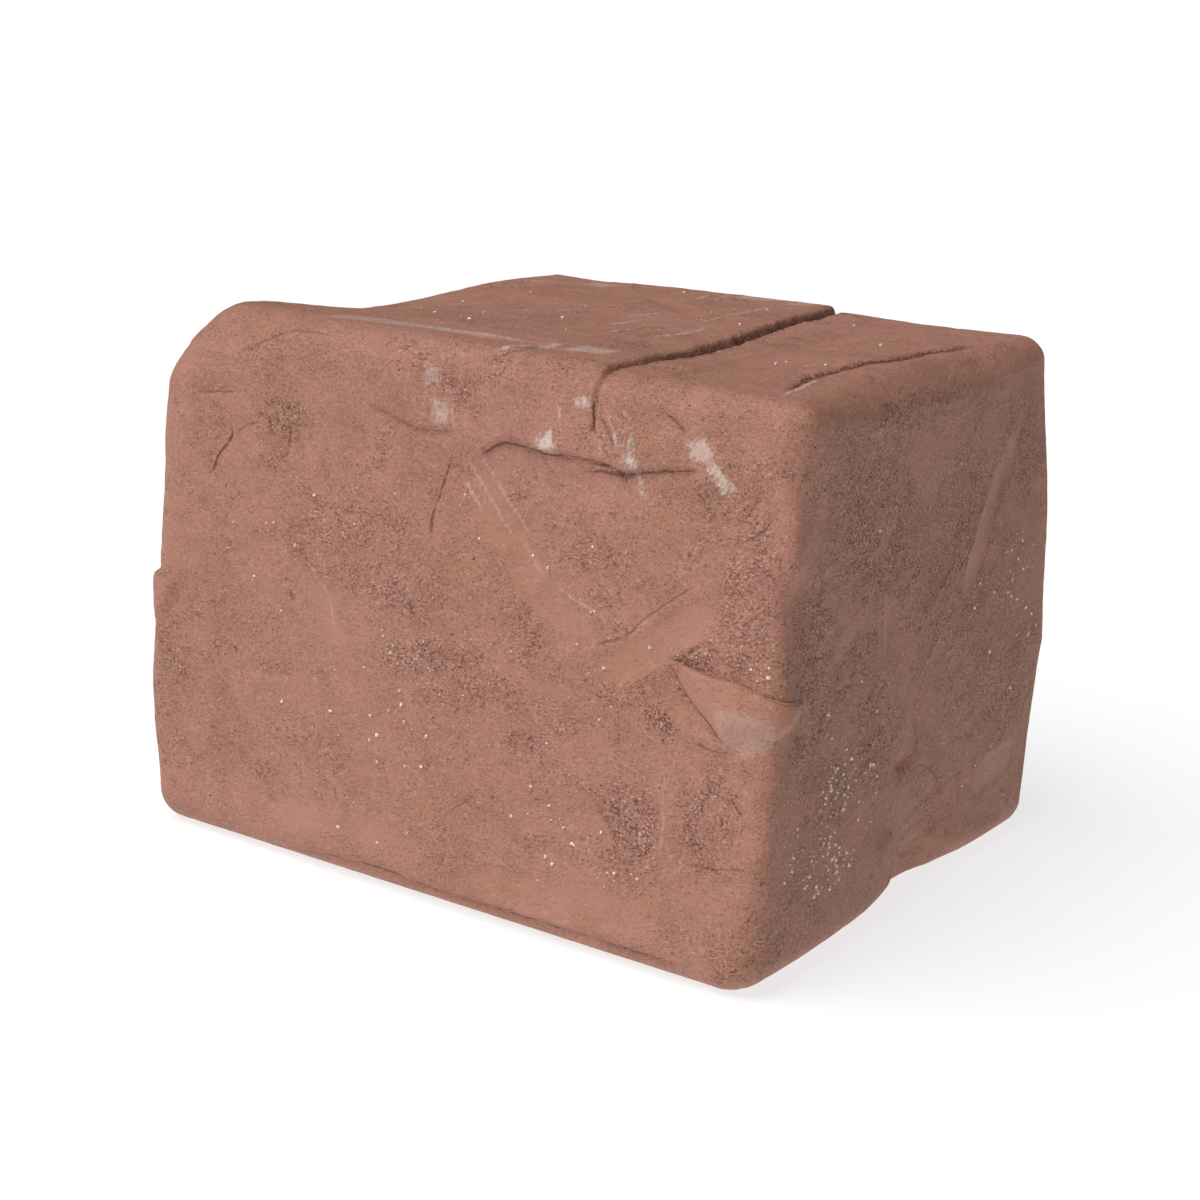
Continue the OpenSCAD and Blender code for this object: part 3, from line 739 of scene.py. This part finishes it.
def makeLump():
    # a closed grid over the plain box, moved to the finished surface and cut off at the table
    pitchX, pitchY, pitchZ = np.array(lump["pitch"]) * 1
    xs = ticks(-half[0], half[0], pitchX, lump["fineX"])
    ys = ticks(-half[1], half[1], pitchY, lump["fineY"])
    zs = ticks(0, block["size"][2], pitchZ, lump["fineZ"])
    rings = [(inset, 0.0) for inset in lump["underside"]] + [(0.0, z) for z in zs]
    points, polygons = closedGrid(xs, ys, rings)
    places, _, marks = skin(points)
    places[:, 2] = np.maximum(places[:, 2], 0)
    # the form's middle comes to the CAD block's middle
    plain, _ = form(points)
    shift = (plain.min(axis=0) + plain.max(axis=0)) / 2
    target = (np.array(lumpBox[0]) + np.array(lumpBox[1])) / 2 / mm
    offset = np.array([target[0] - shift[0], target[1] - shift[1], 0])
    return newPiece("clayLump", places + offset, polygons, marks), offset


clayLump, offset = makeLump()
print("lump", len(clayLump.data.polygons), "faces, moved by", np.round(offset, 2))


# the lapped flap: a leaf with rounded edges that lies on the front face

flap = dict(
    lower=[(70, 88), (73, 83.5), (80, 76.5), (86, 71.5), (92, 68.5), (101, 69.5), (109, 73), (114, 78)],
    upper=[(70, 88), (76, 87), (84, 86), (92, 86), (99, 84.5), (106, 83), (111, 81.5), (114, 78)],
    thick=1.5,
    seat=0.35,  # rise of its outer side above the face, at its edges
    under=0.9,  # how deep its inner side lies in the face
    sink=2.0,  # how far the lower edge sinks in past the flap's middle
    wave=0.3,  # height of its unevenness
    rowsAlong=90,
    rowsAround=64,
)


def makeFlap():
    # at each share of its length the leaf's section is a flattened ring between its two edges
    share = np.linspace(0, 1, flap["rowsAlong"] + 1)
    edges = []
    for path in (flap["lower"], flap["upper"]):
        line = curve(path, 0.5)
        passed = np.linspace(0, 1, len(line))
        edges.append(np.stack([np.interp(share, passed, values) for values in line.T], 1))
    turn = np.linspace(0, 2 * pi, flap["rowsAround"], endpoint=False)
    width = 0.5 - 0.5 * np.cos(turn)
    at = edges[0][:, None] + (edges[1] - edges[0])[:, None] * width[None, :, None]
    raised = np.sign(np.sin(turn)) * np.abs(np.sin(turn)) ** 0.6
    body = smooth(share / 0.2) * smooth((1 - share) / 0.25)
    raisedBy = flap["seat"] + flap["thick"] * raised * blend(0.3, 1, body[:, None])
    lift = np.where(raised > 0, raisedBy, flap["under"] * raised)
    lift -= flap["sink"] * fade(share, 0.4, 0.3)[:, None] * smooth((0.6 - width) / 0.5)[None]
    points = onBox("front", at.reshape(-1, 2))
    places, out, marks = skin(points, fine=False)
    wave = flap["wave"] * roughness(points, 6, 50, 2) * np.tile(raised > 0, len(share))
    places += (lift.ravel() + wave)[:, None] * out
    marks["band"] = np.maximum(marks["band"], 1.0)
    marks["torn"] = 0.2 * marks["torn"]
    places = places.reshape(len(share), len(turn), 3)
    around = len(turn)
    ring = 1 + np.arange((len(share) - 2) * around).reshape(-1, around)
    vertices = np.vstack([places[0].mean(axis=0), places[1:-1].reshape(-1, 3), places[-1].mean(axis=0)])
    low, high = ring[:-1], ring[1:]
    polygons = np.stack([low, high, nextAround(high), nextAround(low)], 2).reshape(-1, 4).tolist()
    first, last = ring[0], ring[-1]
    polygons += np.stack([np.zeros(around, int), first, nextAround(first)], 1).tolist()
    polygons += np.stack([np.full(around, len(vertices) - 1), nextAround(last), last], 1).tolist()
    kept = np.r_[0, around:len(points) - around, len(points) - 1]
    marks = {name: values[kept] for name, values in marks.items()}
    return newPiece("clayFlap", vertices + offset, polygons, marks)


clayFlap = makeFlap()
print("flap", len(clayFlap.data.polygons), "faces")


# grit: small angular grains, each of twenty faces

grit = dict(
    fields=[  # face, middle, half sizes and number of grains
        ("right", (-58, 30), (13, 9), 60),
        ("right", (-52, 52), (15, 9), 46),
        ("right", (-46, 40), (20, 20), 40),
        ("right", (-78, 38), (6, 8), 14),
        ("right", (64, 90), (12, 12), 16),
        ("right", (74, 70), (12, 8), 9),
        ("front", (46, 35), (9, 4), 10),
        ("front", (62, 25), (10, 4), 12),
        ("front", (36, 22), (9, 4), 6),
        ("front", (-14, 50), (12, 14), 12),
        ("front", (0, 70), (80, 60), 60),
        ("front", (94, 91), (7, 4), 10),
        ("front", (-8, 74), (14, 5), 8),
        ("right", (0, 70), (80, 60), 24),
        ("back", (10, 50), (60, 40), 40),
        ("left", (0, 60), (60, 40), 40),
        ("top", (0, 0), (90, 80), 30),
    ],
    size=(0.5, 1.2),  # smallest and largest diameter, before the power below makes small ones common
    sizePower=1.5,
    uneven=(0.7, 1.15),  # each corner's distance from the middle
    stretch=(0.7, 1.2),  # each grain's size along each axis
    seat=0.12,  # rise of a grain's middle above the surface, as a share of its radius
)


def makeGrit():
    # each grain is a twenty-sided solid with its corners pulled in and out, at a random spot of its field
    rng = np.random.default_rng(5)
    golden = (1 + 5 ** 0.5) / 2
    corners = np.array([(0, a, b * golden) for a in (-1, 1) for b in (-1, 1)], float)
    corners = np.vstack([corners, corners[:, [1, 2, 0]], corners[:, [2, 0, 1]]])
    corners /= np.linalg.norm(corners[0])
    gaps = np.linalg.norm(corners[:, None] - corners[None], axis=2)
    touching = (gaps > 0.1) & (gaps < 1.2)
    sides = [
        (a, b, c) for a, b, c in combinations(range(12), 3)
        if touching[a, b] and touching[b, c] and touching[a, c]]
    sides = [side if np.linalg.det(corners[list(side)]) > 0 else side[::-1] for side in sides]
    points = []
    for face, at, size, number in grit["fields"]:
        turn = rng.uniform(0, 2 * pi, number)
        reach = np.sqrt(rng.uniform(0, 1, number))[:, None]
        points.append(onBox(face, at + size * reach * np.stack([np.cos(turn), np.sin(turn)], axis=1)))
    points = np.vstack(points)
    places, out, _ = skin(points)
    count = len(points)
    radius = rng.uniform(*grit["size"], count) ** grit["sizePower"] / 2
    shape = corners[None] * rng.uniform(*grit["uneven"], (count, 12, 1))
    shape = shape * rng.uniform(*grit["stretch"], (count, 1, 3))
    places = places + offset + grit["seat"] * out * radius[:, None]
    vertices = (places[:, None] + shape * radius[:, None, None]).reshape(-1, 3)
    polygons = (12 * np.arange(count)[:, None, None] + np.array(sides)[None]).reshape(-1, 3).tolist()
    piece = newPiece("gritGrains", vertices, polygons)
    piece.data.polygons.foreach_set("use_smooth", np.zeros(len(polygons), bool))
    return piece


gritGrains = makeGrit()
print("grit", len(gritGrains.data.polygons) // 20, "grains")


# finishes

class Wire:
    # a socket that arithmetic works on: each operator adds a Math node
    def __init__(self, finish, socket):
        self.finish, self.socket = finish, socket

    def maths(self, operation, *others):
        values = dict(enumerate((self,) + others))
        made = self.finish.node("ShaderNodeMath", dict(operation=operation), values)
        return Wire(self.finish, made.outputs[0])

    def __add__(self, other):
        return self.maths("ADD", other)

    def __mul__(self, other):
        return self.maths("MULTIPLY", other)

    def __sub__(self, other):
        return self.maths("SUBTRACT", other)

    def __rsub__(self, other):
        return (self * -1) + other

    def __truediv__(self, other):
        return self.maths("DIVIDE", other)

    def __abs__(self):
        return self.maths("ABSOLUTE")

    __radd__ = __add__
    __rmul__ = __mul__

    def upTo(self, other):
        return self.maths("MAXIMUM", other)

    def between(self, low, high):
        # 0 at low, 1 at high, smooth between them
        made = self.finish.node(
            "ShaderNodeMapRange", dict(interpolation_type="SMOOTHSTEP"), {0: self, 1: low, 2: high})
        return Wire(self.finish, made.outputs[0])


class Nodes:
    # a node tree, to which every node is added by one method
    def __init__(self, owner):
        owner.use_nodes = True
        self.tree = owner.node_tree
        self.tree.nodes.clear()

    def node(self, kind, settings, inputs):
        made = self.tree.nodes.new(kind)
        for setting, value in settings.items():
            setattr(made, setting, value)
        for socket, value in inputs.items():
            self.feed(made.inputs[socket], value)
        return made

    def feed(self, socket, value):
        if isinstance(value, Wire):
            value = value.socket
        if isinstance(value, bpy.types.NodeSocket):
            self.tree.links.new(value, socket)
        else:
            socket.default_value = value


class Finish(Nodes):
    # a material with one Principled shader, whose constants are set on its own sockets
    def __init__(self, name, **constants):
        self.material = bpy.data.materials.new(name)
        super().__init__(self.material)
        constants = {socket.replace("_", " "): value for socket, value in constants.items()}
        self.shader = self.node("ShaderNodeBsdfPrincipled", {}, constants)
        self.node("ShaderNodeOutputMaterial", {}, {"Surface": self.shader.outputs[0]})
        coordinates = self.node("ShaderNodeTexCoord", {}, {})
        inMillimetres = self.node(
            "ShaderNodeMapping", {}, {"Vector": coordinates.outputs["Object"], "Scale": (1 / mm,) * 3})
        self.place = inMillimetres.outputs[0]

    def stretched(self, scale, turn, seed):
        # millimetres turned, moved on, and drawn out by a scale along each turned axis
        made = self.node("ShaderNodeMapping", dict(vector_type="TEXTURE"), {
            "Vector": self.place, "Location": (seed, 2 * seed, -seed), "Scale": scale, "Rotation": turn})
        return made.outputs[0]

    def noise(self, size, detail=2.0, rough=0.5, bent=0.0, place=None):
        # soft noise of this size, about 0.5 on average
        made = self.node("ShaderNodeTexNoise", {}, {
            "Vector": place or self.place, "Scale": 1 / size, "Detail": detail,
            "Roughness": rough, "Distortion": bent})
        return Wire(self, made.outputs["Fac"])

    def cells(self, size):
        # distance from the nearest cell's middle in millimetres, and a random number for the cell
        made = self.node("ShaderNodeTexVoronoi", {}, {"Vector": self.place, "Scale": 1 / size})
        split = self.node("ShaderNodeSeparateColor", {}, {0: made.outputs["Color"]})
        return Wire(self, made.outputs["Distance"]) * size, Wire(self, split.outputs[0])

    def attribute(self, name):
        made = self.node("ShaderNodeAttribute", dict(attribute_name=name), {})
        return Wire(self, made.outputs["Fac"])

    def mix(self, first, second, factor):
        # from the first colour to the second as the factor goes from 0 to 1
        made = self.node("ShaderNodeMix", dict(data_type="RGBA"), {0: factor, 6: first, 7: second})
        return made.outputs[2]

    def bump(self, height):
        # height in millimetres
        made = self.node("ShaderNodeBump", {}, {"Height": height, "Distance": mm, "Strength": 1.0})
        self.feed(self.shader.inputs["Normal"], made.outputs[0])


def paint(red, green, blue):
    # a colour from its 0 to 255 display values
    return tuple(((v / 255 + 0.055) / 1.055) ** 2.4 for v in (red, green, blue)) + (1.0,)


clay = dict(
    rosy=paint(182, 129, 111),
    ochre=paint(173, 123, 97),
    deep=paint(150, 102, 86),
    # dark clay, which also paints the shade along cracks, fold walls and in the groove
    darkClayAndShade=paint(98, 60, 49),
    grain=paint(212, 174, 156),
    # the painted highlight on glossy smears and pinched lines
    smearHighlight=paint(222, 203, 192),
    patchSize=30,  # sizes of the patterns in millimetres
    wornSize=14,
    mottleSize=5,
    pitSpacing=4.4,
    dotSpacing=2.0,
    crumbSize=1.5,
    rubSize=0.9,
    fleckSize=0.65,
    grainSize=0.5,
    scored=[(20, 84, 0.9, 9), (20, 52, 0.8, 21), (15, 112, 0.8, 33)],  # dark hairlines
    dragged=[(80, 10, 0.8, 45), (10, 96, 0.8, 57)],  # light ones: tilt and turn in degrees, size, seed
    hairLength=24,  # length of a hairline in widths
    hairField=12,  # size of the fields in which they show
)


def hairlines(finish, kind):
    # thin lines where a long, drawn out noise passes its middle value, in some fields only
    drawn = []
    for tilt, turn, size, seed in clay[kind]:
        along = finish.stretched((1, 1, clay["hairLength"]), (radians(tilt), radians(turn), 0.1 * seed), seed)
        moved = finish.stretched((1, 1, 1), (0, 0, 0), seed)
        hair = 1 - abs(finish.noise(size, 0, place=along) - 0.5).between(0.0, 0.035)
        field = finish.noise(clay["hairField"], 1, bent=0.5, place=moved)
        drawn.append(hair * field.between(0.52, 0.64))
    return reduce(Wire.upTo, drawn)


def nearLine(finish, name, stray, width):
    # 1 on the middle of the lines with this mark, 0 at their width, frayed by the noise that is passed
    near, side = finish.attribute(name), finish.attribute(name + "Side")
    away = abs(side / near.upTo(0.001)) + stray
    return (1 - away.between(0.05, width)) * near.between(0.1, 1.0)


def clayFinish(name):
    # rosy and ochre patches, crumbly where the clay tore and smooth where the bag lay flat
    finish = Finish(name, IOR=1.45, Specular_IOR_Level=0.3)
    drawn = finish.stretched((1.5, 1.5, 1), (0, 0, 0), 3)
    turned = finish.stretched((1.2, 1.2, 1), (0, 0, 0), 17)
    wiped = finish.stretched((1, 1, 3.2), (0.5, 0.55, 0), 61)
    mottle = finish.noise(clay["mottleSize"], 3, 0.6, 0.5)
    crumb = finish.noise(clay["crumbSize"], 3, 0.65, 0.3)
    grain = finish.noise(clay["grainSize"], 2, 0.6)
    fleck = finish.noise(clay["fleckSize"], 2, 0.6, place=drawn)
    chip = finish.noise(clay["fleckSize"], 1, place=turned)
    rub = finish.noise(clay["rubSize"], 2, 0.6, place=wiped)
    ochre = finish.noise(clay["patchSize"], 3, 0.6, 0.6).between(0.46, 0.62)
    worn = finish.noise(clay["wornSize"], 3, 0.65, 1.0, place=drawn).between(0.52, 0.68)

    # where it is smooth, where glossy smears carry a painted highlight, and where it is torn
    band = (finish.attribute("band") + (mottle - 0.5) * 8).between(-0.8, 1.8)
    plain = 1 - band * 0.8
    # inside the glossy smears, and the painted highlight on them
    smearHighlight = (finish.attribute("smearHighlight") + (rub - 0.5) * 4 + (crumb - 0.5) * 3).between(-1.2, 1.2)
    pale = smearHighlight * finish.attribute("pale") * (0.3 + rub)
    crumbly = finish.attribute("torn").upTo(worn * 0.7) * (0.35 + 0.65 * mottle.between(0.40, 0.60)) * plain

    # flecks, chips, pits, dots and specks, scratches, painted shade along folds and cracks, and painted
    # highlights along pinched lines
    dark = (fleck + 0.09 * crumbly).between(0.58, 0.68)
    light = (chip + 0.08 * crumbly).between(0.64, 0.74)
    pitGap, pitPick = finish.cells(clay["pitSpacing"])
    dotGap, dotPick = finish.cells(clay["dotSpacing"])
    pits = (1 - pitGap.between(0.12, 0.45)) * pitPick.between(0.7, 0.74) * plain
    dots = (1 - dotGap.between(0.1, 0.32)) * dotPick.between(0.66, 0.72) * plain
    specks = (1 - dotGap.between(0.1, 0.24)) * (1 - (dotPick - 0.14 * crumbly).between(0.04, 0.07)) * plain
    scored, dragged = hairlines(finish, "scored"), hairlines(finish, "dragged")
    broken = mottle.between(0.3, 0.46)
    # painted shade along cracks and the walls of folds
    seamShade = nearLine(finish, "seamShade", 1.4 * (crumb - 0.5), 0.36) * (0.35 + 0.65 * broken)
    # painted highlights along the pinched lines
    glint = nearLine(finish, "glint", 2.0 * (crumb - 0.5), 0.6) * broken

    color = clay["rosy"]
    for other, factor in (
            ("ochre", ochre * 0.5),
            ("deep", mottle.between(0.42, 0.7) * 0.1 + crumbly * 0.25),
            ("darkClayAndShade", grain.between(0.48, 0.72) * (0.36 + 0.16 * ochre) * plain),
            ("grain", (1 - crumb).between(0.52, 0.72) * (0.24 + 0.1 * ochre) * plain),
            ("darkClayAndShade", dark * (0.3 + 0.16 * ochre + 0.4 * crumbly) * plain),
            ("grain", light * (0.4 + 0.6 * crumbly) * plain),
            ("darkClayAndShade", (pits * 0.7).upTo(dots * 0.5).upTo(scored * 0.26)),
            ("grain", (specks * 0.8).upTo(dragged * 0.3)),
            # painted shade along cracks, fold walls and in the groove
            ("darkClayAndShade", (seamShade * 0.8).upTo(finish.attribute("groove") * 0.3)),
            # painted highlights on glossy smears and along pinched lines
            ("smearHighlight", pale.upTo(glint * 0.5 * (0.5 + rub)))):
        color = finish.mix(color, clay[other], factor)
    height = crumb * (0.3 + 0.8 * crumbly) + grain * (0.1 + 0.2 * plain) + mottle * 0.35
    height = height - dark * (0.1 + 0.15 * crumbly) - pits * 0.35 - dots * 0.15
    height = height - scored * 0.08 + dragged * 0.06 - seamShade * 0.45 + glint * 0.25
    finish.feed(finish.shader.inputs["Base Color"], color)
    finish.feed(finish.shader.inputs["Roughness"], 0.62 + 0.3 * (crumb - 0.5) - 0.14 * band - 0.28 * pale)
    finish.bump(height)
    return finish.material


def gritFinish():
    # pale grains, some a little darker
    finish = Finish("gritFinish", Roughness=0.6)
    tint = finish.noise(2.5, 1).between(0.35, 0.65)
    color = finish.mix(paint(214, 196, 180), paint(240, 232, 222), tint)
    finish.feed(finish.shader.inputs["Base Color"], color)
    finish.bump(finish.noise(0.3, 2) * 0.05)
    return finish.material


for piece, material, slot, node in (
        (clayLump, clayFinish("clayFinish"), "clay_body", "clay_block"),
        (clayFlap, clayFinish("smoothClayFinish"), "clay_smooth", "lapped_flap"),
        (gritGrains, gritFinish(), "grit", "grit_grains")):
    piece.data.materials.append(material)
    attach(piece, "root")
    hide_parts(node)
print("finishes made")


# floor, light and camera

studio = dict(
    floorSize=12.0,  # metres
    key=2.95,  # strength of a broad, even light from far off
    keyAt=(-25, 56),  # azimuth and elevation in degrees
    keyBreadth=48.0,  # degrees
    ambient=0.1,  # light from all round
    backdrop=1.0,
    floorTone=0.3,
    floorGlow=0.75,
)
view = dict(
    azimuth=33.0, elevation=14.0, roll=3.4,  # degrees
    distance=0.679,  # metres
    lens=64.6,
    aim=(-14.0, 10.6, 67.3),  # millimetres
)


def outward(azimuth, elevation):
    # the way from the object to something at this azimuth, from the front to the right, and elevation
    a, e = radians(azimuth), radians(elevation)
    return Vector((sin(a) * cos(e), -cos(a) * cos(e), sin(e)))


def makeStudio():
    # a glowing pale floor, a broad even light, and a backdrop that is white where it is seen
    mesh = bpy.data.meshes.new("floor")
    s = studio["floorSize"] / 2
    mesh.from_pydata([(-s, -s, 0), (s, -s, 0), (s, s, 0), (-s, s, 0)], [], [(0, 1, 2, 3)])
    floor = bpy.data.objects.new("floor", mesh)
    bpy.context.scene.collection.objects.link(floor)
    finish = Finish(
        "floorFinish", Roughness=1.0, Specular_IOR_Level=0.0, Base_Color=(studio["floorTone"],) * 3 + (1,),
        Emission_Color=(1, 1, 1, 1), Emission_Strength=studio["floorGlow"])
    mesh.materials.append(finish.material)
    world = bpy.data.worlds.new("studio")
    bpy.context.scene.world = world
    backdrop = Nodes(world)
    lit, seen = (
        backdrop.node("ShaderNodeBackground", {}, {"Color": (1, 1, 1, 1), "Strength": strength})
        for strength in (studio["ambient"], studio["backdrop"]))
    rays = backdrop.node("ShaderNodeLightPath", {}, {})
    choice = backdrop.node("ShaderNodeMixShader", {}, {
        0: rays.outputs["Is Camera Ray"], 1: lit.outputs[0], 2: seen.outputs[0]})
    backdrop.node("ShaderNodeOutputWorld", {}, {"Surface": choice.outputs[0]})
    light = bpy.data.lights.new("key", "SUN")
    light.energy, light.angle = studio["key"], radians(studio["keyBreadth"])
    key = bpy.data.objects.new("key", light)
    key.rotation_euler = outward(*studio["keyAt"]).to_track_quat("Z", "Y").to_euler()
    bpy.context.scene.collection.objects.link(key)


def makeCamera():
    # looks at its aim from the view's azimuth and elevation, rolled a little
    lens = bpy.data.cameras.new("camera")
    lens.lens, lens.sensor_width = view["lens"], 36
    camera = bpy.data.objects.new("camera", lens)
    way = outward(view["azimuth"], view["elevation"])
    turn = way.to_track_quat("Z", "Y").to_matrix().to_4x4() @ Matrix.Rotation(radians(view["roll"]), 4, "Z")
    camera.matrix_world = Matrix.Translation(Vector(view["aim"]) * mm + way * view["distance"]) @ turn
    bpy.context.scene.collection.objects.link(camera)
    bpy.context.scene.camera = camera


makeStudio()
makeCamera()
bpy.context.scene.view_settings.view_transform = "Standard"
print("studio ready")
